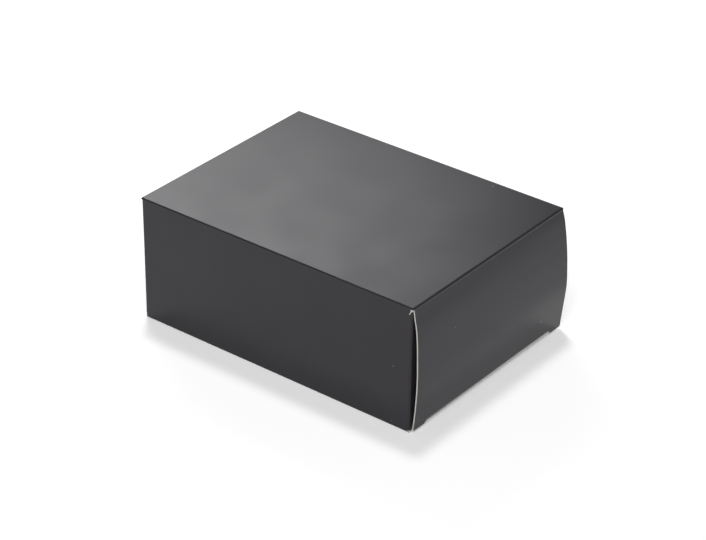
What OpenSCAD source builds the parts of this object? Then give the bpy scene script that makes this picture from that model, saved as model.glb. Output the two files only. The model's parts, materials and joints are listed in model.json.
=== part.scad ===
// Folding carton with a tuck closure at both ends, standing on its bottom panel.
// X runs along the carton, the front panel faces -Y, +Z is up, and the origin is
// on the surface it stands on, under the middle of the carton.

/* [Carton] */
// Length between the outer faces of the two end folds
carton_length = 122.5; // [80:0.5:200]
// Width over the front and back panels
carton_width = 90; // [76:1:160]
// Height over the top and bottom panels
carton_height = 50; // [40:1:90]

/* [Board] */
// Thickness of the board
board = 0.5; // [0.3:0.05:0.6]
// Inner radius of the lengthwise folds
fold_radius = 0.3; // [0.2:0.05:0.35]
// Clearance between the bead of a crease and the seat that it turns in
crease_clearance = 0.03; // [0.02:0.01:0.06]
// Angle of the relief cut beside the bead of a lid's upper crease
crease_relief = 36; // [30:1:38]

/* [Lids] */
// How far the right lid bows out from the line between its creases
right_lid_bow = 2.2; // [0.2:0.1:3]
// How far the right lid's lower crease stands out past its upper crease
right_lid_spring = 1.2; // [0:0.1:2]
// How far the left lid bows out from the line between its creases
left_lid_bow = 0.2; // [0.1:0.1:3]
// How far the left lid's lower crease stands out past its upper crease
left_lid_spring = 0; // [0:0.1:2]
// Distance from a lid's side edge to the carton's outer face
lid_side_gap = 0.5; // [0.3:0.1:1]
// Height of a lid's lower crease above the surface under the carton
tuck_crease_height = 2.6; // [2.4:0.1:3.4]
// Length of the ear at each end of a lid's lower crease
ear_length = 6.7; // [5:0.1:10]
// How far the ears reach below the lower crease
ear_drop = 1.6; // [1:0.1:2]
// Radius of the lower corner at a lid's side edge
ear_corner = 0.6; // [0.2:0.1:0.9]

/* [Tuck flaps] */
// Depth of a tuck flap from its crease to its tip
tuck_depth = 15; // [10:0.5:17]
// Angle at which a tuck flap rises into the carton
tuck_tilt = 16; // [15:1:24]
// Distance from a tuck flap's side edge to the carton's outer face
tuck_side_gap = 3.4; // [3.2:0.1:5]
// Angle by which a tuck flap's sides draw in towards its tip
tuck_taper = 4; // [0:1:12]
// Radius of the corners at a tuck flap's tip
tuck_corner = 7; // [2:0.5:9]
// Width of the slit between an ear and the tuck flap
slit_width = 0.3; // [0.2:0.05:0.6]

/* [Dust flaps] */
// Depth of a dust flap from its crease to its tip
dust_depth = 32; // [20:1:36]
// Gap between a closed dust flap and the lid at the lid's upper crease
dust_gap = 0.1; // [0.1:0.05:0.4]
// Distance from the carton's top face to the upper end of a dust flap's crease
dust_top_drop = 2.6; // [1.5:0.1:5]
// Height of the lower end of a dust flap's crease above the surface under the carton
dust_foot_height = 1; // [1:0.1:2]
// Width of the shoulder at the foot of a dust flap's crease
shoulder_width = 2.2; // [1.4:0.1:2.4]
// Radius of the outer corner of the shoulder
shoulder_corner = 0.5; // [0.2:0.1:0.6]
// Distance from the tuck crease up to a dust flap's lower edge
dust_lift = 1.8; // [1.7:0.1:5]
// Angle by which a dust flap's upper edge falls away from its crease
dust_upper_slope = 30; // [29:1:34]
// Angle by which a dust flap's lower edge rises from its crease
dust_lower_slope = 5; // [0:1:9]
// Radius of the corners at a dust flap's tip
dust_corner = 3; // [1:0.5:4]

/* [Glue seam] */
// Height of the glue flap's upper edge above the surface under the carton
glue_flap_height = 13; // [8:0.5:20]
// Distance from the ends of the glue flap to the dust flaps' creases
glue_flap_setback = 2; // [1.5:0.5:6]
// Angle by which the ends of the glue flap draw in towards its upper edge
glue_flap_taper = 30; // [10:5:45]
// Thickness of the glue line
glue_thickness = 0.06; // [0.04:0.01:0.1]
// Margin left bare around the glue line
glue_margin = 2; // [1:0.5:3]
// Distance from the back panel's cut edge to the surface under the carton
seam_lift = 0.2; // [0.1:0.05:0.4]

/* [Hidden] */
$fn = 96;
// How far cutting shapes run past what they cut
over = 1;
laminate = "#2f2e30";
adhesive = "#d8d2bd";

// Sleeve
half_width = carton_width / 2;
fold_outer = fold_radius + board;
flat_half = half_width - fold_outer;
inner_half = half_width - board;

// Creases: each turns about the inner corner of its fold
bead_radius = board;
seat_radius = bead_radius + crease_clearance;
lid_axis_x = carton_length / 2 - board;
lid_axis_z = carton_height - board;
dust_axis_x = lid_axis_x - dust_gap - board;
dust_axis_y = inner_half;
sleeve_end = dust_axis_x + board;

// Lids
lid_half = half_width - lid_side_gap;
crease_half = lid_half - ear_length;
ear_foot = tuck_crease_height - ear_drop;

// Tuck flaps
slit_edge = ear_drop + slit_width;
root_half = crease_half - crease_clearance;
tuck_half = half_width - tuck_side_gap;
tuck_tip_half = tuck_half - (tuck_depth - slit_edge) * tan(tuck_taper);

// Dust flaps
dust_crease_top = carton_height - dust_top_drop;
dust_low = tuck_crease_height + dust_lift;
dust_tip_low = dust_low + (dust_depth - shoulder_width) * tan(dust_lower_slope);
dust_tip_high = dust_crease_top - dust_depth * tan(dust_upper_slope);

// Glue seam
glue_face = inner_half - glue_thickness;
glue_fold_y = glue_face - fold_outer;
glue_flap_half = dust_axis_x - bead_radius - glue_flap_setback;

// Drawing helpers

// Runs a (Y, Z) section along X, centred
module along_x(length) {
    rotate([90, 0, 90])
        linear_extrude(length, center = true)
            children();
}

// Runs an (X, Z) section along Y, centred
module along_y(length) {
    rotate([90, 0, 0])
        linear_extrude(length, center = true)
            children();
}

// Draws the same thing at the right end and, mirrored, at the left end
module at_both_ends() {
    children();
    mirror([1, 0, 0])
        children();
}

// A unit vector in a plane
function heading(angle) = [cos(angle), sin(angle)];
function unit(v) = v / norm(v);

// The sliver between a sharp corner and its rounding, to cut off that corner
module corner_sliver(before, corner, after, radius) {
    back = unit(before - corner);
    ahead = unit(after - corner);
    half_angle = acos(back * ahead) / 2;
    reach = radius / tan(half_angle);
    centre = corner + unit(back + ahead) * radius / sin(half_angle);
    difference() {
        polygon([corner, corner + back * reach, centre, corner + ahead * reach]);
        translate(centre)
            circle(radius);
    }
}

// Section of a board that turns on its crease at the origin: it runs along +Y, outer face to +X
module beaded_board(length) {
    difference() {
        circle(bead_radius);
        square(bead_radius + over);
    }
    square([board, length]);
}

// Sleeve

// Section of a lengthwise fold about its own centre, turned into its corner
module fold_section(turn) {
    rotate(turn)
        intersection() {
            difference() {
                circle(fold_outer);
                circle(fold_radius);
            }
            square(fold_outer + over);
        }
}

// Room beside the bead of a lid's upper crease, cut off the outer corner of the board that ends at X = 0
module relief_section() {
    run = board / tan(crease_relief);
    polygon([[0, 0], [-run, board], [-run, board + over], [over, board + over], [over, 0]]);
}

// What a lid's upper crease takes off the end of the top panel: the seat of its bead, and room to fold back
module lid_seat() {
    along_y(carton_width + over)
        translate([lid_axis_x, lid_axis_z]) {
            circle(seat_radius);
            relief_section();
        }
}

// What a dust flap's crease takes off the end of a side panel
module dust_seat() {
    translate([dust_axis_x, 0, 0])
        cylinder(r = seat_radius, h = dust_crease_top + crease_clearance);
}

module top_panel() {
    color(laminate)
        difference() {
            along_x(2 * lid_axis_x) {
                translate([-flat_half, lid_axis_z])
                    square([2 * flat_half, board]);
                translate([-flat_half, carton_height - fold_outer])
                    fold_section(90);
                translate([flat_half, carton_height - fold_outer])
                    fold_section(0);
            }
            at_both_ends()
                lid_seat();
        }
}

// A side panel between two heights, with its inner face on Y = 0 and its outer face towards -Y
module side_panel(low, high) {
    difference() {
        translate([-dust_axis_x, -board, low])
            cube([2 * dust_axis_x, board, high - low]);
        at_both_ends()
            dust_seat();
    }
}

module front_panel() {
    color(laminate)
        translate([0, -inner_half, 0])
            side_panel(fold_outer, carton_height - fold_outer);
}

module back_panel() {
    color(laminate)
        translate([0, inner_half, 0])
            mirror([0, 1, 0])
                side_panel(seam_lift, carton_height - fold_outer);
}

module bottom_panel() {
    color(laminate)
        along_x(2 * sleeve_end) {
            translate([-flat_half, 0])
                square([flat_half + glue_fold_y, board]);
            translate([-flat_half, fold_outer])
                fold_section(180);
            translate([glue_fold_y, fold_outer])
                fold_section(270);
        }
}

// Outline of the glue flap, drawn in from its edges by a margin
module glue_outline(margin) {
    low = fold_outer + margin;
    high = glue_flap_height - margin;
    low_half = glue_flap_half - margin;
    high_half = low_half - (high - low) * tan(glue_flap_taper);
    polygon([[-low_half, low], [low_half, low], [high_half, high], [-high_half, high]]);
}

module glue_flap() {
    color(laminate)
        translate([0, glue_face - board / 2, 0])
            along_y(board)
                glue_outline(0);
}

module glue_line() {
    color(adhesive)
        translate([0, glue_face + glue_thickness / 2, 0])
            along_y(glue_thickness)
                glue_outline(glue_margin);
}

// Lids, drawn at the right end

// One ear of a lid, seen along X: its inner lower corner is round, its outer one just broken
module ear_outline() {
    inner_top = [crease_half, tuck_crease_height];
    inner_foot = [crease_half, ear_foot];
    outer_foot = [lid_half, ear_foot];
    outer_top = [lid_half, tuck_crease_height];
    difference() {
        translate(inner_foot)
            square([ear_length, ear_drop + over]);
        corner_sliver(inner_top, inner_foot, outer_foot, ear_drop);
        corner_sliver(inner_foot, outer_foot, outer_top, ear_corner);
    }
}

// Outline of a lid seen along X: a plain rectangle down to its lower crease, and an ear at each end of that
module lid_outline() {
    translate([-lid_half, tuck_crease_height])
        square([2 * lid_half, carton_height - tuck_crease_height + over]);
    ear_outline();
    mirror([1, 0])
        ear_outline();
}

// A lid: a bowed sheet between its two creases, with the bead of its upper crease
module lid(bow, spring) {
    upper = [lid_axis_x, lid_axis_z];
    lower = [lid_axis_x + spring, tuck_crease_height];
    chord = lower - upper;
    outwards = unit([-chord.y, chord.x]);
    radius = (chord * chord / 4 + bow * bow) / (2 * bow);
    centre = (upper + lower) / 2 - outwards * (radius - bow);
    half_turn = asin(norm(chord) / 2 / radius);
    facing = atan2(outwards.y, outwards.x);
    ear_turn = ear_drop / radius * 180 / PI;
    reach = (radius + board) / cos(half_turn + ear_turn) + over;
    difference() {
        intersection() {
            along_y(carton_width)
                translate(centre)
                    intersection() {
                        difference() {
                            circle(radius + board, $fn = 360);
                            circle(radius, $fn = 360);
                        }
                        polygon([
                            [0, 0],
                            heading(facing - half_turn - 2 * ear_turn) * reach,
                            heading(facing + half_turn) * reach
                        ]);
                    }
            translate([lid_axis_x, 0, 0])
                along_x(carton_height)
                    lid_outline();
        }
        along_y(carton_width + over)
            translate(upper)
                rotate(facing + half_turn - 90)
                    mirror([1, 0])
                        relief_section();
        along_y(2 * crease_half)
            translate(lower)
                circle(seat_radius);
    }
    along_y(2 * lid_half)
        translate(upper)
            circle(bead_radius);
}

module right_lid() {
    color(laminate)
        lid(right_lid_bow, right_lid_spring);
}

module left_lid() {
    color(laminate)
        mirror([1, 0, 0])
            lid(left_lid_bow, left_lid_spring);
}

// Tuck flaps, drawn at the right end

// Outline of a tuck flap in its own plane, from past its crease at X = 0 to its tip at -X
module tuck_outline() {
    root = bead_radius + over;
    points = [
        [root, -root_half], [-slit_edge, -root_half], [-slit_edge, -tuck_half],
        [-tuck_depth, -tuck_tip_half], [-tuck_depth, tuck_tip_half],
        [-slit_edge, tuck_half], [-slit_edge, root_half], [root, root_half]
    ];
    difference() {
        polygon(points);
        for (tip = [3, 4])
            corner_sliver(points[tip - 1], points[tip], points[tip + 1], tuck_corner);
    }
}

// A tuck flap on the lower crease of a lid that springs out by the given distance
module tuck_flap(spring) {
    translate([lid_axis_x + spring, 0, tuck_crease_height])
        rotate([0, tuck_tilt, 0])
            intersection() {
                along_y(carton_width)
                    mirror([0, 1])
                        rotate(90)
                            beaded_board(tuck_depth + over);
                linear_extrude(2 * (board + over), center = true)
                    tuck_outline();
            }
}

module right_tuck_flap() {
    color(laminate)
        tuck_flap(right_lid_spring);
}

module left_tuck_flap() {
    color(laminate)
        mirror([1, 0, 0])
            tuck_flap(left_lid_spring);
}

// Dust flaps, drawn at the right end of the front panel

// Outline of a dust flap, from past its crease at X = 0: a shoulder at its foot, then a tapering blade
module dust_outline() {
    root = -bead_radius - over;
    root_foot = [root, dust_foot_height];
    shoulder_foot = [shoulder_width, dust_foot_height];
    shoulder_top = [shoulder_width, dust_low];
    low_tip = [dust_depth, dust_tip_low];
    high_tip = [dust_depth, dust_tip_high];
    crest = [0, dust_crease_top];
    difference() {
        polygon([root_foot, shoulder_foot, shoulder_top, low_tip, high_tip, crest, [root, dust_crease_top]]);
        corner_sliver(root_foot, shoulder_foot, shoulder_top, shoulder_corner);
        corner_sliver(shoulder_top, low_tip, high_tip, dust_corner);
        corner_sliver(low_tip, high_tip, crest, dust_corner);
    }
}

module dust_flap() {
    color(laminate)
        translate([dust_axis_x, -dust_axis_y, 0])
            intersection() {
                linear_extrude(carton_height)
                    beaded_board(dust_depth + over);
                along_x(2 * (board + over))
                    dust_outline();
            }
}

module right_front_dust_flap() {
    dust_flap();
}

module right_back_dust_flap() {
    mirror([0, 1, 0])
        dust_flap();
}

module left_front_dust_flap() {
    mirror([1, 0, 0])
        dust_flap();
}

module left_back_dust_flap() {
    mirror([1, 0, 0])
        mirror([0, 1, 0])
            dust_flap();
}

front_panel();
top_panel();
back_panel();
bottom_panel();
glue_flap();
glue_line();
right_lid();
right_tuck_flap();
right_front_dust_flap();
right_back_dust_flap();
left_lid();
left_tuck_flap();
left_front_dust_flap();
left_back_dust_flap();
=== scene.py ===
import json
import math

import bmesh
import bpy
from mathutils import Matrix, Vector


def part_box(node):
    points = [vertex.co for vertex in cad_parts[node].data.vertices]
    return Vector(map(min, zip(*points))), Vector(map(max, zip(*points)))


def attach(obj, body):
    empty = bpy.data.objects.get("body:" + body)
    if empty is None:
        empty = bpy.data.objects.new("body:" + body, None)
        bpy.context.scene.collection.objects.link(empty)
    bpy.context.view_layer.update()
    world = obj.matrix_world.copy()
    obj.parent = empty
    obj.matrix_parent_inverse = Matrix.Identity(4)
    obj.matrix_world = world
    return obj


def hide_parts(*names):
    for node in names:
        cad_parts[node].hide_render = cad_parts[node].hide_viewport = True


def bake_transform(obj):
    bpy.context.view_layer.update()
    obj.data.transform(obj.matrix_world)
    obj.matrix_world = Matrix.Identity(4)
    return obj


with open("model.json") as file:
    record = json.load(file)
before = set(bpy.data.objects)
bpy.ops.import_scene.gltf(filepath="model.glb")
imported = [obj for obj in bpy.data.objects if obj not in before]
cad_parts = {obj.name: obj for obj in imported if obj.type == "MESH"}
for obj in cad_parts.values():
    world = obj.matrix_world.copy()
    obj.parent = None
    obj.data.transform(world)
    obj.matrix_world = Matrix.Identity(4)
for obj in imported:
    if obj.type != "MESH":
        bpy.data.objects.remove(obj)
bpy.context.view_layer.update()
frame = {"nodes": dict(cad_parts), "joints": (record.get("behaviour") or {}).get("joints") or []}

# Lengths are in millimetres until a piece is finished

MM = 0.001

# How close counts as touching or as level, and the cosine of a face that looks along an axis

TOUCHING = 1e-4
NEAR = 0.01
SQUARE_ON = 0.99

# The carton's own sizes, from the solids and their creases

CREASE = {j["name"]: Vector(j["pos_m"]) / MM for j in frame["joints"]}
SOLID = {name: [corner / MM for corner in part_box(name)] for name in frame["nodes"]}

BOARD = 0.5
FRONT_Y = SOLID["top_panel"][0].y
BACK_Y = SOLID["top_panel"][1].y
TOP_Z = SOLID["top_panel"][1].z
BOTTOM_END = SOLID["bottom_panel"][1].x
LID_HALF = SOLID["right_lid"][1].y
EAR_FOOT = SOLID["right_lid"][0].z
ROOT_HALF = 37.17
SLIT_HALF = 37.2
TUCK_HALF = SOLID["right_tuck_flap"][1].y
DUST_FOOT = SOLID["right_front_dust_flap"][0].z
DUST_CREST = SOLID["right_front_dust_flap"][1].z
DUST_DEPTH = 32.0
SEAM_Z = SOLID["back_panel"][0].z
GLUE_FLAP_Y = SOLID["glue_flap"][1].y
GLUE_FLAP_TOP = SOLID["glue_flap"][1].z
GLUE_FLAP_HALF = SOLID["glue_flap"][1].x

# Folds: outer radius, the flat strip kept beside each rounding, the cosines that tell a fold's ends and
# outside, the rubbed strip on the sides, and the length that is cut off the sleeve's ends

LONG_FOLD = 0.55
LID_FOLD = 0.6
TUCK_FOLD = 0.6
DUST_FOLD = {"right": 0.9, "left": 0.5}
FOLD_FLAT = 0.12
LID_FLAT = 0.42
FOLD_STEPS = 8
ACROSS_TURN = 0.7
OUTER_TURN = 0.2
RUB_WIDTH = 0.3
SPARE_LENGTH = 1.0

# The notch in the side panels' top corners at the right end, where the blank is cut between lid and
# dust flap, with bare board along its slant and on the tip over it

NOTCH_FOOT = 47.2
NOTCH_CREST = 48.75
NOTCH_START = 59.63
NOTCH_RUN = 0.8
BARE_MARGIN = 0.3
BARE_START = 60.0
BARE_RISE = 0.6
CORNER_END = 60.95

# How far each lid stands out from its upper crease, by height, at its front and back edges

BOW_HEIGHTS = (49.0, 46.0, 42.0, 38.0, 32.0, 24.0, 20.0, 16.0, 8.0, 2.6, 1.0)
BOW = {
    "right": {
        "front": (0.0, 0.48, 1.26, 1.66, 1.96, 2.17, 2.14, 2.02, 1.50, 0.92, 0.74),
        "back": (0.0, 0.90, 1.64, 2.26, 2.93, 3.43, 3.50, 3.25, 2.36, 1.79, 1.62),
    },
    "left": {
        "front": (0.0, -0.02, -0.05, -0.07, -0.09, -0.09, -0.09, -0.08, -0.05, -0.02, 0.0),
        "back": (0.0, 0.02, 0.04, 0.05, 0.07, 0.08, 0.08, 0.07, 0.04, 0.02, 0.0),
    },
}

# Lids, tuck flaps, dust flaps and glue flap; a tuck flap's plate is set by the lid a little over the crease

LID_ROWS = 40
LID_COLUMNS = 6
LID_EDGE = {"right": LID_HALF, "left": LID_HALF - 0.3}
LID_LEAN = {"right": math.radians(6.2), "left": math.radians(0.8)}
TUCK_TILT = math.radians(16)
TUCK_DEPTH = 15.0
TUCK_TIP_HALF = 40.7
TUCK_CORNER = 7.0
TUCK_MEETS = 0.2
SLIT_RUN = 2.4
EAR_INNER_CORNER = 1.5
EAR_OUTER_CORNER = 0.5
DUST_CORNER = 3.0
DUST_FOLD_TOP = {"right": 48.6, "left": 49.4}
DUST_SHOULDER = 2.2
SHOULDER_CORNER = 0.5
DUST_RISE = 0.9
DUST_LOW = 4.4
DUST_TIP_LOW = 7.01
DUST_TIP_HIGH = 28.92
GLUE_TAPER = math.radians(30)
CORNER_STEPS = 6
TUCK_CORNER_STEPS = 10
SHOULDER_STEPS = 4

# Colours, linear

FILM_BLACK = (0.0232, 0.0209, 0.0262, 1)
FILM_CLOUD = (0.0262, 0.0238, 0.0293, 1)
FILM_WORN = (0.115, 0.112, 0.110, 1)
FILM_GLOSS = 0.27
LINT = (0.42, 0.41, 0.39, 1)
LINER_PALE = (0.74, 0.73, 0.69, 1)
LINER_SHADE = (0.62, 0.60, 0.55, 1)
LINER_FLECK = (0.33, 0.30, 0.25, 1)
PLY_PALE = (0.67, 0.67, 0.63, 1)
PLY_SHADE = (0.50, 0.495, 0.45, 1)
GLUE_CLEAR = (0.74, 0.69, 0.56, 1)
GLUE_DEEP = (0.58, 0.50, 0.34, 1)
FLOOR_WHITE = (0.80, 0.80, 0.80, 1)
WHITE = (1, 1, 1, 1)

# How finishes vary: ranges of a pattern's values, and what they become

MOST = (0.3, 0.7)
WIDE = (0.25, 0.75)
NARROW = (0.35, 0.65)
HIGH = (0.45, 0.75)
FULL = (0, 1)
WEAR = "wear"
RUBBED_SHARE = (0.05, 0.3)
RUBBED_ROUGHER = 0.2
LINT_SHARE = 0.45
FLECK_SHARE = 0.5
BUBBLE_SHARE = 0.4
LINER_CLOUD_SHARE = (0, 0.35)
PLY_FIBRE_SHARE = (0, 0.7)
PLY_CLOUD_SHARE = (0, 0.4)
FILM_ROUGHNESS = (0.28, 0.33)
LINER_ROUGHNESS = (0.78, 0.9)
PLY_ROUGHNESS = (0.82, 0.92)
GLUE_ROUGHNESS = (0.3, 0.45)
CLOUD_ROUGHNESS = 0.55
FIBRE_TURNS = (0.4, 2.3)
FIBRE_LENGTH = 7

# Relief depths, in metres

FILM_WAVE = 0.000006
FILM_GRAIN = 0.0000012
LINER_RELIEF = 0.000012
PLY_RELIEF = 0.00001
GLUE_RELIEF = 0.00001

# Studio: the floor's half size in metres, and each light's place, aim, size and power

FLOOR_HALF = 12
FLOOR_ROUGHNESS = 0.9
FLOOR_LIFT = 0.26
SOFT_BOXES = {
    "back_left_box": ((-527, 393, 420), (-527, 393, 0), (492, 371), 2.85),
    "key_box": ((-355, 365, 1930), (0, 0, 0), (240, 240), 14.0),
    "fill_box": ((640, -1000, 1600), (0, 0, 0), (1000, 1000), 22.0),
}
SKY_RISE = (0.08, 0.45)
SKY_LEVEL = (0.4, 0.12)

# Camera, from the carton's edges in the picture

CAMERA_AT = Vector((459.559, -595.326, 464.790))
CAMERA_RIGHT = Vector((0.788099, 0.615451, 0.011008))
CAMERA_FORWARD = Vector((-0.525940, 0.682555, -0.507450))
CAMERA_LENS = 122.04
CAMERA_SENSOR = 36
CAMERA_CLIP = (0.01, 50)


# Node groups that several finishes share

def group_of(name, inputs, outputs):
    """An empty shader node group with the named sockets, and its input and output nodes."""
    group = bpy.data.node_groups.new(name, "ShaderNodeTree")
    for label, kind in inputs:
        group.interface.new_socket(label, in_out="INPUT", socket_type=kind)
    for label, kind in outputs:
        group.interface.new_socket(label, in_out="OUTPUT", socket_type=kind)
    return group, group.nodes.new("NodeGroupInput"), group.nodes.new("NodeGroupOutput")


def math_node(tree, operation, first, second=None):
    """A math node on sockets or plain numbers; gives its output socket."""
    node = tree.nodes.new("ShaderNodeMath")
    node.operation = operation
    for socket, value in zip(node.inputs, (first, second)):
        if isinstance(value, bpy.types.NodeSocket):
            tree.links.new(value, socket)
        elif value is not None:
            socket.default_value = value
    return node.outputs[0]


def remap(tree, value, given, wanted):
    """Maps a value from one range to another, held at the ends."""
    node = tree.nodes.new("ShaderNodeMapRange")
    node.interpolation_type = "SMOOTHSTEP"
    tree.links.new(value, node.inputs["Value"])
    for label, number in zip(("From Min", "From Max", "To Min", "To Max"), (*given, *wanted)):
        node.inputs[label].default_value = number
    return node.outputs["Result"]


def soft_mottle():
    """Cloudy change over the surface: Value about 0.5, with clouds of the given number per metre."""
    group, given, made = group_of(
        "soft_mottle",
        [("Position", "NodeSocketVector"), ("Per Metre", "NodeSocketFloat"), ("Detail", "NodeSocketFloat")],
        [("Value", "NodeSocketFloat")],
    )
    noise = group.nodes.new("ShaderNodeTexNoise")
    noise.inputs["Roughness"].default_value = CLOUD_ROUGHNESS
    group.links.new(given.outputs["Position"], noise.inputs["Vector"])
    group.links.new(given.outputs["Per Metre"], noise.inputs["Scale"])
    group.links.new(given.outputs["Detail"], noise.inputs["Detail"])
    group.links.new(noise.outputs["Fac"], made.inputs["Value"])
    return group


def sparse_specks():
    """A mask of small round specks, scattered one to a cell, in the given share of the cells."""
    group, given, made = group_of(
        "sparse_specks",
        [("Position", "NodeSocketVector"), ("Per Metre", "NodeSocketFloat"),
         ("Share", "NodeSocketFloat"), ("Radius", "NodeSocketFloat")],
        [("Mask", "NodeSocketFloat")],
    )
    cells = group.nodes.new("ShaderNodeTexVoronoi")
    group.links.new(given.outputs["Position"], cells.inputs["Vector"])
    group.links.new(given.outputs["Per Metre"], cells.inputs["Scale"])
    chance = group.nodes.new("ShaderNodeSeparateColor")
    group.links.new(cells.outputs["Color"], chance.inputs["Color"])
    chosen = math_node(group, "LESS_THAN", chance.outputs["Red"], given.outputs["Share"])
    reach = math_node(group, "MULTIPLY", given.outputs["Radius"], chance.outputs["Green"])
    inside = math_node(group, "LESS_THAN", cells.outputs["Distance"], reach)
    group.links.new(math_node(group, "MULTIPLY", chosen, inside), made.inputs["Mask"])
    return group


def paper_fibres():
    """Matted fibres of bare board: Tone for colour and Height for relief, both about 0.5."""
    group, given, made = group_of(
        "paper_fibres",
        [("Position", "NodeSocketVector"), ("Per Metre", "NodeSocketFloat")],
        [("Tone", "NodeSocketFloat"), ("Height", "NodeSocketFloat")],
    )
    strands = []
    for turn in FIBRE_TURNS:
        lay = group.nodes.new("ShaderNodeMapping")
        lay.vector_type = "TEXTURE"
        lay.inputs["Rotation"].default_value = (turn, 0.7 * turn, turn)
        lay.inputs["Scale"].default_value = (1, FIBRE_LENGTH, 1)
        group.links.new(given.outputs["Position"], lay.inputs["Vector"])
        noise = group.nodes.new("ShaderNodeTexNoise")
        noise.inputs["Detail"].default_value = 3
        noise.inputs["Distortion"].default_value = 0.8
        group.links.new(lay.outputs["Vector"], noise.inputs["Vector"])
        group.links.new(given.outputs["Per Metre"], noise.inputs["Scale"])
        strands.append(noise.outputs["Fac"])
    group.links.new(math_node(group, "MAXIMUM", *strands), made.inputs["Height"])
    both = math_node(group, "ADD", *strands)
    group.links.new(math_node(group, "MULTIPLY", both, 0.5), made.inputs["Tone"])
    return group


GROUPS = {made.name: made for made in (soft_mottle(), sparse_specks(), paper_fibres())}


# Finishes

class Finish:
    """A material under way: its nodes, its surface shader and the position that its patterns read."""

    def __init__(self, name):
        self.material = bpy.data.materials.new(name)
        self.material.use_nodes = True
        self.tree = self.material.node_tree
        self.surface = self.tree.nodes["Principled BSDF"]
        self.position = self.tree.nodes.new("ShaderNodeTexCoord").outputs["Object"]

    def effect(self, name, **values):
        """Places a shared node group, with its own values."""
        node = self.tree.nodes.new("ShaderNodeGroup")
        node.node_tree = GROUPS[name]
        self.tree.links.new(self.position, node.inputs["Position"])
        for label, number in values.items():
            node.inputs[label.replace("_", " ")].default_value = number
        return node.outputs

    def mix(self, share, first, second):
        """Mixes two colours, each a colour or a socket, by a share."""
        node = self.tree.nodes.new("ShaderNodeMix")
        node.data_type = "RGBA"
        colours = [socket for socket in node.inputs if socket.type == "RGBA"]
        for socket, value in zip(colours, (first, second)):
            if isinstance(value, bpy.types.NodeSocket):
                self.tree.links.new(value, socket)
            else:
                socket.default_value = value
        self.tree.links.new(share, node.inputs[0])
        return next(socket for socket in node.outputs if socket.type == "RGBA")

    def relief(self, *layers):
        """Stacks bumps, each a height socket and a depth in metres, on the surface's normal."""
        normal = None
        for height, depth in layers:
            bump = self.tree.nodes.new("ShaderNodeBump")
            bump.inputs["Distance"].default_value = depth
            self.tree.links.new(height, bump.inputs["Height"])
            if normal:
                self.tree.links.new(normal, bump.inputs["Normal"])
            normal = bump.outputs["Normal"]
        self.tree.links.new(normal, self.surface.inputs["Normal"])

    def give(self, label, value):
        """Sets one of the shader's inputs to a number, a colour or a socket."""
        if isinstance(value, bpy.types.NodeSocket):
            self.tree.links.new(value, self.surface.inputs[label])
        else:
            self.surface.inputs[label].default_value = value


def black_film():
    """Satin black film over the printed side of the board, rubbed along the folds."""
    film = Finish("black_film")
    clouds = film.effect("soft_mottle", Per_Metre=45, Detail=3)["Value"]
    grain = film.effect("soft_mottle", Per_Metre=1900, Detail=2)["Value"]
    lint = film.effect("sparse_specks", Per_Metre=95, Share=0.06, Radius=0.03)["Mask"]
    rubbing = film.effect("soft_mottle", Per_Metre=520, Detail=4)["Value"]
    wear = film.tree.nodes.new("ShaderNodeAttribute")
    wear.attribute_name = WEAR
    patchy = remap(film.tree, rubbing, MOST, RUBBED_SHARE)
    rubbed = math_node(film.tree, "MULTIPLY", wear.outputs["Fac"], patchy)
    tone = film.mix(remap(film.tree, clouds, MOST, FULL), FILM_BLACK, FILM_CLOUD)
    tone = film.mix(rubbed, tone, FILM_WORN)
    tone = film.mix(math_node(film.tree, "MULTIPLY", lint, LINT_SHARE), tone, LINT)
    film.give("Base Color", tone)
    whole = remap(film.tree, clouds, WIDE, FILM_ROUGHNESS)
    scuffed = math_node(film.tree, "MULTIPLY", rubbed, RUBBED_ROUGHER)
    film.give("Roughness", math_node(film.tree, "ADD", whole, scuffed))
    film.give("Specular IOR Level", FILM_GLOSS)
    film.relief((clouds, FILM_WAVE), (grain, FILM_GRAIN))
    return film.material


def bare_liner():
    """Uncoated inner side of the board."""
    liner = Finish("bare_liner")
    fibres = liner.effect("paper_fibres", Per_Metre=2600)
    clouds = liner.effect("soft_mottle", Per_Metre=120, Detail=4)["Value"]
    flecks = liner.effect("sparse_specks", Per_Metre=260, Share=0.22, Radius=0.07)["Mask"]
    tone = liner.mix(remap(liner.tree, fibres["Tone"], NARROW, FULL), LINER_PALE, LINER_SHADE)
    tone = liner.mix(remap(liner.tree, clouds, (MOST[0], WIDE[1]), LINER_CLOUD_SHARE), tone, LINER_SHADE)
    tone = liner.mix(math_node(liner.tree, "MULTIPLY", flecks, FLECK_SHARE), tone, LINER_FLECK)
    liner.give("Base Color", tone)
    liner.give("Roughness", remap(liner.tree, fibres["Tone"], MOST, LINER_ROUGHNESS))
    liner.relief((fibres["Height"], LINER_RELIEF))
    return liner.material


def cut_plies():
    """Die-cut edge of the board: pale plies with a few torn fibres."""
    plies = Finish("cut_plies")
    fibres = plies.effect("paper_fibres", Per_Metre=4200)
    clouds = plies.effect("soft_mottle", Per_Metre=420, Detail=3)["Value"]
    tone = plies.mix(remap(plies.tree, fibres["Tone"], NARROW, PLY_FIBRE_SHARE), PLY_PALE, PLY_SHADE)
    tone = plies.mix(remap(plies.tree, clouds, HIGH, PLY_CLOUD_SHARE), tone, PLY_SHADE)
    plies.give("Base Color", tone)
    plies.give("Roughness", remap(plies.tree, clouds, MOST, PLY_ROUGHNESS))
    plies.relief((fibres["Height"], PLY_RELIEF))
    return plies.material


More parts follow.
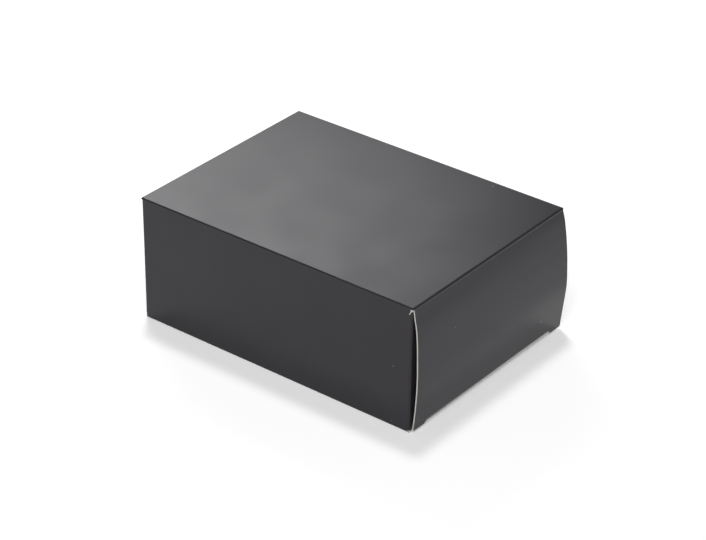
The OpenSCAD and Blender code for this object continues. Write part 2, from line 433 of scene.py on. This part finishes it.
def dried_glue():
    """Thin dried adhesive in the seam."""
    glue = Finish("dried_glue")
    clouds = glue.effect("soft_mottle", Per_Metre=300, Detail=3)["Value"]
    bubbles = glue.effect("sparse_specks", Per_Metre=700, Share=0.4, Radius=0.3)["Mask"]
    tone = glue.mix(remap(glue.tree, clouds, MOST, FULL), GLUE_CLEAR, GLUE_DEEP)
    tone = glue.mix(math_node(glue.tree, "MULTIPLY", bubbles, BUBBLE_SHARE), tone, GLUE_DEEP)
    glue.give("Base Color", tone)
    glue.give("Roughness", remap(glue.tree, clouds, MOST, GLUE_ROUGHNESS))
    glue.relief((clouds, GLUE_RELIEF))
    return glue.material


FILM, LINER, PLIES, GLUE = black_film(), bare_liner(), cut_plies(), dried_glue()

# A board's finishes come in threes: printed side, inner side and cut edge. The second three wrap the
# cut edge in film, and the third leave the printed side bare.

BOARD_FINISHES = (FILM, LINER, PLIES, FILM, LINER, FILM, LINER, LINER, PLIES)
FILM_SIDE, LINER_SIDE, CUT_SIDE, WRAPPED_SIDE, BARE_SIDE = 0, 1, 2, 3, 6


# Making and finishing pieces

def piece_of(name, bm):
    """Scales a mesh in the making to metres and makes it an object with the board's finishes."""
    bmesh.ops.scale(bm, vec=(MM, MM, MM), verts=bm.verts)
    mesh = bpy.data.meshes.new(name)
    bm.to_mesh(mesh)
    bm.free()
    for finish in BOARD_FINISHES:
        mesh.materials.append(finish)
    piece = bpy.data.objects.new(name, mesh)
    bpy.context.scene.collection.objects.link(piece)
    return piece


def end_signs(end, side="front"):
    """The signs that carry a place at the right end's front over to another end and side."""
    return Vector((-1 if end == "left" else 1, -1 if side == "back" else 1, 1))


def mirrored(bm, end, side="front"):
    """Turns a piece drawn at the right end's front over to its own end and side."""
    signs = end_signs(end, side)
    bmesh.ops.scale(bm, vec=signs, verts=bm.verts)
    if signs.x * signs.y < 0:
        bmesh.ops.reverse_faces(bm, faces=bm.faces)


def face_out(bm, outwards):
    """Turns a sheet's faces so that its printed side looks the given way."""
    total = sum((f.normal * f.calc_area() for f in bm.faces), Vector())
    if total.dot(Vector(outwards)) < 0:
        bmesh.ops.reverse_faces(bm, faces=bm.faces)


def board_of(name, bm, body, *nodes):
    """Finishes a sheet, drawn as its printed side, as board that stands for CAD nodes and rides on a body."""
    for e in bm.edges:
        e.smooth = not e.is_boundary
    piece = piece_of(name, bm)
    ply = piece.modifiers.new("board", "SOLIDIFY")
    ply.thickness = BOARD * MM
    ply.offset = -1
    ply.use_even_offset = True
    ply.material_offset = LINER_SIDE
    ply.material_offset_rim = CUT_SIDE
    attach(piece, body)
    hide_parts(*nodes)
    return piece


def outline_sheet(points):
    """A flat sheet with the given corners."""
    bm = bmesh.new()
    bm.faces.new([bm.verts.new(p) for p in points])
    bm.normal_update()
    return bm


def round_corner(bm, place, radius, steps=CORNER_STEPS):
    """Rounds the sheet's corner nearest a place."""
    place = Vector(place)
    corner = min(bm.verts, key=lambda v: (v.co - place).length)
    bmesh.ops.bevel(bm, geom=[corner], offset=radius, offset_type="OFFSET", segments=steps, profile=0.5,
                    affect="VERTICES", material=-1)


def points_of(geometry):
    """The points among the geometry that an operator made."""
    return [part for part in geometry if isinstance(part, bmesh.types.BMVert)]


def mark_wear(bm, rubbed=lambda co: False):
    """Marks the points of a mesh where the film is rubbed, or none."""
    layer = bm.verts.layers.float.new(WEAR)
    for v in bm.verts:
        v[layer] = 1.0 if rubbed(v.co) else 0.0


# The sleeve: one sheet round four folds, from the glue flap inside to the seam outside

def cut_across(bm, chosen, place, across):
    """Cuts the chosen faces at a plane."""
    faces = [f for f in bm.faces if chosen(f)]
    edges = list(dict.fromkeys(e for f in faces for e in f.edges))
    bmesh.ops.bisect_plane(bm, geom=faces + edges, plane_co=place, plane_no=across)


def trim(bm, chosen, place, outwards):
    """Cuts the chosen faces at a plane and removes what is beyond it."""
    place, outwards = Vector(place), Vector(outwards)
    cut_across(bm, chosen, place, outwards)
    beyond = [f for f in bm.faces
              if chosen(f) and (f.calc_center_median() - place).dot(outwards) > TOUCHING]
    bmesh.ops.delete(bm, geom=beyond, context="FACES")


def is_glue_flap(face):
    """Whether a face of the sleeve lies on the glue flap."""
    middle = face.calc_center_median()
    return abs(middle.y - GLUE_FLAP_Y) < NEAR and abs(face.normal.y) > SQUARE_ON


def is_side(face):
    """Whether a face lies on the front or back panel."""
    middle = face.calc_center_median()
    return min(abs(middle.y - FRONT_Y), abs(middle.y - BACK_Y)) < NEAR and abs(face.normal.y) > SQUARE_ON


def is_top(face):
    """Whether a face lies on the top panel."""
    return face.calc_center_median().z > TOP_Z - NEAR and abs(face.normal.z) > SQUARE_ON


def is_low(face):
    """Whether a face lies on the bottom panel or its folds."""
    return face.calc_center_median().z < LONG_FOLD - NEAR and not is_side(face) and not is_glue_flap(face)


def is_top_fold(face):
    """Whether a face lies on a fold beside the top panel."""
    return face.calc_center_median().z > TOP_Z - LONG_FOLD and not is_side(face) and not is_top(face)


def sleeve_sheet():
    """The printed side of the sleeve, before its ends are cut to length."""
    reach = CREASE["right_lid_crease"].x + SPARE_LENGTH
    corners = [(GLUE_FLAP_Y, GLUE_FLAP_TOP), (GLUE_FLAP_Y, 0), (FRONT_Y, 0),
               (FRONT_Y, TOP_Z), (BACK_Y, TOP_Z), (BACK_Y, SEAM_Z)]
    bm = bmesh.new()
    row = [bm.verts.new((-reach, y, z)) for y, z in corners]
    edges = [bm.edges.new(pair) for pair in zip(row, row[1:])]
    made = bmesh.ops.extrude_edge_only(bm, edges=edges)["geom"]
    bmesh.ops.translate(bm, vec=(2 * reach, 0, 0), verts=points_of(made))
    folds = [e for e in bm.edges if len(e.link_faces) == 2]
    bmesh.ops.bevel(bm, geom=folds, offset=LONG_FOLD, offset_type="OFFSET", segments=FOLD_STEPS, profile=0.5,
                    affect="EDGES", material=-1)
    bm.normal_update()
    return bm


def cut_notch(bm, dust_end):
    """Cuts the side panels at the right end: straight below, aslant in the notch, and a tip over it."""
    def between(low, high):
        return lambda f: is_side(f) and low < f.calc_center_median().z < high

    slope = Vector((NOTCH_CREST - NOTCH_FOOT, 0, -NOTCH_RUN)).normalized()
    slant = Vector((NOTCH_START, 0, NOTCH_FOOT))
    for z in (NOTCH_FOOT, NOTCH_CREST, NOTCH_CREST + BARE_RISE):
        cut_across(bm, is_side, (0, 0, z), (0, 0, 1))
    trim(bm, between(0, NOTCH_FOOT), (dust_end, 0, 0), (1, 0, 0))
    trim(bm, between(NOTCH_FOOT, NOTCH_CREST), slant, slope)
    trim(bm, between(NOTCH_CREST, TOP_Z), (CORNER_END, 0, 0), (1, 0, 0))
    bare_slant = slant - slope * BARE_MARGIN
    cut_across(bm, between(NOTCH_FOOT, NOTCH_CREST), bare_slant, slope)
    cut_across(bm, between(NOTCH_CREST, NOTCH_CREST + BARE_RISE), (BARE_START, 0, 0), (1, 0, 0))
    for f in bm.faces:
        middle = f.calc_center_median()
        on_slant = between(NOTCH_FOOT, NOTCH_CREST)(f) and (middle - bare_slant).dot(slope) > 0
        on_tip = between(NOTCH_CREST, NOTCH_CREST + BARE_RISE)(f) and middle.x > BARE_START
        if on_slant or on_tip:
            f.material_index = BARE_SIDE


def trim_sleeve_end(bm, end):
    """Cuts the sleeve's panels to length at one end."""
    s = 1 if end == "right" else -1
    lid_end = CREASE["right_lid_crease"].x + BOARD - LID_FOLD - LID_FLAT
    dust_end = CREASE["right_front_dust_crease"].x + BOARD - DUST_FOLD[end] - FOLD_FLAT
    trim(bm, is_top, (s * lid_end, 0, 0), (s, 0, 0))
    trim(bm, is_low, (s * BOTTOM_END, 0, 0), (s, 0, 0))
    taper = (s * math.cos(GLUE_TAPER), 0, math.sin(GLUE_TAPER))
    trim(bm, is_glue_flap, (s * GLUE_FLAP_HALF, 0, LONG_FOLD), taper)
    trim(bm, is_top_fold, (s * CORNER_END, 0, 0), (s, 0, 0))
    if end == "right":
        cut_notch(bm, dust_end)
    else:
        trim(bm, is_side, (s * dust_end, 0, 0), (s, 0, 0))


def sleeve_board():
    """The sleeve as board."""
    bm = sleeve_sheet()
    for end in ("right", "left"):
        trim_sleeve_end(bm, end)
    bmesh.ops.recalc_face_normals(bm, faces=bm.faces)
    top = next(f for f in bm.faces if is_top(f))
    if top.normal.z < 0:
        bmesh.ops.reverse_faces(bm, faces=bm.faces)
    for f in bm.faces:
        f.smooth = not (is_side(f) or is_top(f) or is_glue_flap(f))
        if is_top_fold(f):
            f.material_index = WRAPPED_SIDE
    rubbed_z = TOP_Z - LONG_FOLD
    cut_across(bm, is_side, (0, 0, rubbed_z - RUB_WIDTH), (0, 0, 1))
    mark_wear(bm, lambda co: abs(co.z - rubbed_z) < NEAR)
    return board_of("sleeve_board", bm, "sleeve",
                    "front_panel", "top_panel", "back_panel", "bottom_panel", "glue_flap")


# Lids

def along_curve(height, values):
    """A smooth curve through the bow's values at a height."""
    last = len(BOW_HEIGHTS) - 2
    k = next((i for i in range(last + 1) if height >= BOW_HEIGHTS[i + 1]), last)
    before, after = max(k - 1, 0), min(k + 2, last + 1)
    span = BOW_HEIGHTS[k + 1] - BOW_HEIGHTS[k]
    t = (height - BOW_HEIGHTS[k]) / span
    slope_in = (values[k + 1] - values[before]) / (BOW_HEIGHTS[k + 1] - BOW_HEIGHTS[before]) * span
    slope_out = (values[after] - values[k]) / (BOW_HEIGHTS[after] - BOW_HEIGHTS[k]) * span
    return ((2 * t ** 3 - 3 * t ** 2 + 1) * values[k] + (t ** 3 - 2 * t ** 2 + t) * slope_in
            + (3 * t ** 2 - 2 * t ** 3) * values[k + 1] + (t ** 3 - t ** 2) * slope_out)


def standoff(end, y, height):
    """How far the lid's printed side stands out from its upper crease, at a place on it."""
    front = along_curve(height, BOW[end]["front"])
    back = along_curve(height, BOW[end]["back"])
    return front + (back - front) * (y + LID_HALF) / (2 * LID_HALF)


def lid_face():
    """X of the printed side at a lid's upper crease, at the right end."""
    return CREASE["right_lid_crease"].x + BOARD


def tuck_section(end):
    """The tuck fold's outer corner and reach along the lid, seen from its crease, at the right end."""
    lean = LID_LEAN[end]
    lid_out = Vector((math.cos(lean), 0, -math.sin(lean)))
    tuck_out = Vector((-math.sin(TUCK_TILT), 0, -math.cos(TUCK_TILT)))
    corner = (lid_out + tuck_out) * BOARD / (1 + lid_out.dot(tuck_out))
    reach = TUCK_FOLD * math.tan(lid_out.angle(tuck_out) / 2) + FOLD_FLAT
    up_lid = Vector((math.sin(lean), 0, math.cos(lean)))
    along_tuck = Vector((-math.cos(TUCK_TILT), 0, math.sin(TUCK_TILT)))
    return lid_out, tuck_out, corner, reach, up_lid, along_tuck


def tuck_crease_at(end, y):
    """The inner corner of the tuck fold at a place along it, set against the lid's lower edge."""
    corner, reach, up_lid = tuck_section(end)[2:5]
    height = CREASE["right_tuck_crease"].z
    meets = corner + up_lid * reach
    out = lid_face() + standoff(end, y, height + meets.z)
    return Vector((out - meets.x, y, height))


def lid_board(end):
    """A bowed lid with an ear at each end of its lower crease."""
    high = TOP_Z - LID_FOLD - LID_FLAT
    corner, reach, up_lid = tuck_section(end)[2:5]
    low = CREASE["right_tuck_crease"].z + (corner + up_lid * reach).z
    bm = bmesh.new()
    bmesh.ops.create_grid(bm, x_segments=LID_ROWS, y_segments=LID_COLUMNS, size=1)
    bmesh.ops.rotate(bm, verts=bm.verts, cent=(0, 0, 0), matrix=Matrix.Rotation(math.radians(90), 3, "Y"))
    bmesh.ops.scale(bm, verts=bm.verts, vec=(1, LID_EDGE[end], (high - low) / 2))
    bmesh.ops.translate(bm, verts=bm.verts, vec=(lid_face(), 0, (high + low) / 2))
    for side in (-1, 1):
        bmesh.ops.bisect_plane(bm, geom=bm.verts[:] + bm.edges[:] + bm.faces[:],
                               plane_co=(0, side * SLIT_HALF, 0), plane_no=(0, 1, 0))

    def at_foot(v):
        return abs(v.co.z - low) < TOUCHING and abs(v.co.y) > SLIT_HALF - TOUCHING

    feet = [e for e in bm.edges if all(at_foot(v) for v in e.verts)]
    made = bmesh.ops.extrude_edge_only(bm, edges=feet)["geom"]
    bmesh.ops.translate(bm, vec=(0, 0, EAR_FOOT - low), verts=points_of(made))
    for side in (-1, 1):
        round_corner(bm, (lid_face(), side * SLIT_HALF, EAR_FOOT), EAR_INNER_CORNER)
        round_corner(bm, (lid_face(), side * LID_EDGE[end], EAR_FOOT), EAR_OUTER_CORNER)
    for v in bm.verts:
        v.co.x += standoff(end, v.co.y, v.co.z)
    bm.normal_update()
    face_out(bm, (1, 0, 0))
    for f in bm.faces:
        f.smooth = True
    mark_wear(bm)
    mirrored(bm, end)
    return board_of(f"{end}_lid_board", bm, f"{end}_end_lid", f"{end}_lid")


# Tuck flaps and dust flaps

def tuck_board(end):
    """A tuck flap: a narrow root between the slits, then a plate with round corners."""
    tuck_out, corner, reach, up_lid, along = tuck_section(end)[1:]
    crease_z = CREASE["right_tuck_crease"].z
    plate_x = lid_face() + standoff(end, 0, crease_z + TUCK_MEETS) - (corner + up_lid * reach).x

    def at(y, run):
        crease = tuck_crease_at(end, y) if run < SLIT_RUN else Vector((plate_x, y, crease_z))
        return crease + corner + along * run

    half = [(ROOT_HALF, reach), (ROOT_HALF, SLIT_RUN), (TUCK_HALF, SLIT_RUN), (TUCK_TIP_HALF, TUCK_DEPTH)]
    bm = outline_sheet([at(-y, run) for y, run in half] + [at(y, run) for y, run in reversed(half)])
    for side in (-1, 1):
        round_corner(bm, at(side * TUCK_TIP_HALF, TUCK_DEPTH), TUCK_CORNER, TUCK_CORNER_STEPS)
    bm.normal_update()
    face_out(bm, tuck_out)
    mark_wear(bm)
    mirrored(bm, end)
    return board_of(f"{end}_tuck_board", bm, f"{end}_end_tuck", f"{end}_tuck_flap")


def dust_board(end, side):
    """A dust flap: a shoulder at its foot, then a tapering blade."""
    crease = CREASE["right_front_dust_crease"]

    def at(run, z):
        return Vector((crease.x + BOARD, crease.y + run, z))

    start = DUST_FOLD[end] + FOLD_FLAT - BOARD
    crest = min(DUST_FOLD_TOP[end], DUST_CREST + DUST_RISE)
    bm = outline_sheet([
        at(start, DUST_FOOT), at(DUST_SHOULDER, DUST_FOOT), at(DUST_SHOULDER, DUST_LOW),
        at(DUST_DEPTH, DUST_TIP_LOW), at(DUST_DEPTH, DUST_TIP_HIGH), at(start, crest)])
    for z in (DUST_FOOT, DUST_LOW):
        round_corner(bm, at(DUST_SHOULDER, z), SHOULDER_CORNER, SHOULDER_STEPS)
    for z in (DUST_TIP_LOW, DUST_TIP_HIGH):
        round_corner(bm, at(DUST_DEPTH, z), DUST_CORNER)
    bm.normal_update()
    face_out(bm, (1, 0, 0))
    mark_wear(bm)
    mirrored(bm, end, side)
    return board_of(f"{end}_{side}_dust_board", bm, f"{end}_end_{side}_dust", f"{end}_{side}_dust_flap")


# Folds: short strips of bent board round the creases

def fold_bmesh(ends, panel_out, flap_out, panel_away, flap_away, radius,
               end_side=CUT_SIDE, flat=FOLD_FLAT):
    """A strip of board bent round a crease, between two places of its inner corner."""
    panel_out, flap_out = Vector(panel_out), Vector(flap_out)
    panel_away, flap_away = Vector(panel_away), Vector(flap_away)
    corner = (panel_out + flap_out) * BOARD / (1 + panel_out.dot(flap_out))
    reach = radius * math.tan(panel_out.angle(flap_out) / 2) + flat
    on_panel, on_flap = corner + panel_away * reach, corner + flap_away * reach
    section = [on_panel, corner, on_flap, on_flap - flap_out * BOARD, Vector(), on_panel - panel_out * BOARD]
    bm = bmesh.new()
    first = bm.faces.new([bm.verts.new(ends[0] + p) for p in section])
    made = bmesh.ops.extrude_face_region(bm, geom=[first])["geom"]
    bmesh.ops.translate(bm, verts=points_of(made), vec=ends[1] - ends[0])
    bmesh.ops.recalc_face_normals(bm, faces=bm.faces)

    def at_corner(v):
        return min((v.co - end - corner).length for end in ends) < TOUCHING

    edge = [e for e in bm.edges if all(at_corner(v) for v in e.verts)]
    bmesh.ops.bevel(bm, geom=edge, offset=reach - flat, offset_type="OFFSET", segments=FOLD_STEPS,
                    profile=0.5, affect="EDGES", material=-1)
    bm.normal_update()
    run = (ends[1] - ends[0]).normalized()
    away = panel_out + flap_out
    for f in bm.faces:
        across = abs(f.normal.dot(run)) > ACROSS_TURN
        outer = f.normal.dot(away) > OUTER_TURN
        f.material_index = end_side if across else FILM_SIDE if outer else LINER_SIDE
        f.smooth = outer and not across
    for e in bm.edges:
        e.smooth = all(f.smooth for f in e.link_faces)
    mark_wear(bm)
    return bm, on_panel, on_flap


def fold_of(name, bm):
    """Finishes a fold as a piece, with its place baked into its points."""
    piece = piece_of(name, bm)
    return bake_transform(piece)


def lid_fold(end):
    """The fold between the top panel and a lid."""
    crease = CREASE["right_lid_crease"]
    half = BACK_Y - LONG_FOLD
    ends = [Vector((crease.x, y, crease.z)) for y in (-half, half)]
    bm, on_panel, on_flap = fold_bmesh(ends, (0, 0, 1), (1, 0, 0), (-1, 0, 0), (0, 0, -1), LID_FOLD,
                                       FILM_SIDE, LID_FLAT)
    mirrored(bm, end)
    return fold_of(f"{end}_lid_fold", bm)


def tuck_fold(end):
    """The fold between a lid and its tuck flap."""
    lid_out, tuck_out, _, _, up_lid, along = tuck_section(end)
    ends = [tuck_crease_at(end, y) for y in (-ROOT_HALF, ROOT_HALF)]
    bm, on_lid, on_tuck = fold_bmesh(ends, lid_out, tuck_out, up_lid, along, TUCK_FOLD)
    mirrored(bm, end)
    return fold_of(f"{end}_tuck_fold", bm)


def dust_fold(end, side):
    """The fold between a side panel and a dust flap."""
    crease = CREASE["right_front_dust_crease"]
    ends = [Vector((crease.x, crease.y, z)) for z in (DUST_FOOT, DUST_FOLD_TOP[end])]
    bm, on_panel, on_flap = fold_bmesh(ends, (0, -1, 0), (1, 0, 0), (-1, 0, 0), (0, 1, 0), DUST_FOLD[end],
                                       FILM_SIDE)
    mirrored(bm, end, side)
    return fold_of(f"{end}_{side}_dust_fold", bm)


def build_carton():
    """Every piece of the carton, and the finish of the glue line that stays as it is."""
    sleeve_board()
    for end in ("right", "left"):
        lid_board(end)
        tuck_board(end)
        lid_fold(end)
        tuck_fold(end)
        for side in ("front", "back"):
            dust_board(end, side)
            dust_fold(end, side)
    seam = frame["nodes"]["glue_line"].data.materials
    seam.clear()
    seam.append(GLUE)


# Studio

def pale_floor():
    """A wide pale floor that reads as white, keeps the carton's shadow and is clear from below."""
    bm = bmesh.new()
    bmesh.ops.create_grid(bm, x_segments=1, y_segments=1, size=FLOOR_HALF)
    mesh = bpy.data.meshes.new("floor")
    bm.to_mesh(mesh)
    bm.free()
    floor = bpy.data.objects.new("floor", mesh)
    bpy.context.scene.collection.objects.link(floor)
    material = bpy.data.materials.new("pale_floor")
    material.use_nodes = True
    tree = material.node_tree
    surface = tree.nodes["Principled BSDF"]
    surface.inputs["Base Color"].default_value = FLOOR_WHITE
    surface.inputs["Roughness"].default_value = FLOOR_ROUGHNESS
    surface.inputs["Specular IOR Level"].default_value = 0.0
    surface.inputs["Emission Color"].default_value = WHITE
    rays = tree.nodes.new("ShaderNodeLightPath")
    seen = math_node(tree, "MAXIMUM", rays.outputs["Is Camera Ray"], rays.outputs["Is Glossy Ray"])
    seen = math_node(tree, "MAXIMUM", seen, rays.outputs["Is Transmission Ray"])
    tree.links.new(math_node(tree, "MULTIPLY", seen, FLOOR_LIFT), surface.inputs["Emission Strength"])
    either = tree.nodes.new("ShaderNodeMixShader")
    tree.links.new(tree.nodes.new("ShaderNodeNewGeometry").outputs["Backfacing"], either.inputs[0])
    tree.links.new(surface.outputs[0], either.inputs[1])
    tree.links.new(tree.nodes.new("ShaderNodeBsdfTransparent").outputs[0], either.inputs[2])
    tree.links.new(either.outputs[0], tree.nodes["Material Output"].inputs["Surface"])
    mesh.materials.append(material)


def soft_box(name, at, aim, size, power):
    """A rectangular soft light, with place and size in millimetres."""
    lamp = bpy.data.lights.new(name, "AREA")
    lamp.shape = "RECTANGLE"
    lamp.size, lamp.size_y = (length * MM for length in size)
    lamp.energy = power
    holder = bpy.data.objects.new(name, lamp)
    holder.location = Vector(at) * MM
    holder.rotation_euler = (Vector(aim) - Vector(at)).to_track_quat("-Z", "Y").to_euler()
    bpy.context.scene.collection.objects.link(holder)


def studio_world():
    """Light from all round: bright at the horizon, dim above."""
    world = bpy.data.worlds.new("studio")
    bpy.context.scene.world = world
    world.use_nodes = True
    tree = world.node_tree
    direction = tree.nodes.new("ShaderNodeTexCoord").outputs["Generated"]
    split = tree.nodes.new("ShaderNodeSeparateXYZ")
    tree.links.new(direction, split.inputs[0])
    level = remap(tree, split.outputs["Z"], SKY_RISE, SKY_LEVEL)
    tree.links.new(level, tree.nodes["Background"].inputs["Strength"])
    tree.nodes["Background"].inputs["Color"].default_value = WHITE


def photo_camera():
    """The camera at the picture's viewing angle."""
    data = bpy.data.cameras.new("camera")
    data.lens = CAMERA_LENS
    data.sensor_width = CAMERA_SENSOR
    data.clip_start, data.clip_end = CAMERA_CLIP
    camera = bpy.data.objects.new("camera", data)
    up = CAMERA_RIGHT.cross(CAMERA_FORWARD)
    turn = Matrix((CAMERA_RIGHT, up, -CAMERA_FORWARD)).transposed()
    camera.matrix_world = Matrix.Translation(CAMERA_AT * MM) @ turn.to_4x4()
    bpy.context.scene.collection.objects.link(camera)
    bpy.context.scene.camera = camera


def light_studio():
    """Floor, lamps, world and camera."""
    pale_floor()
    for name, box in SOFT_BOXES.items():
        soft_box(name, *box)
    studio_world()
    photo_camera()
    bpy.context.scene.view_settings.view_transform = "Standard"


build_carton()
light_studio()
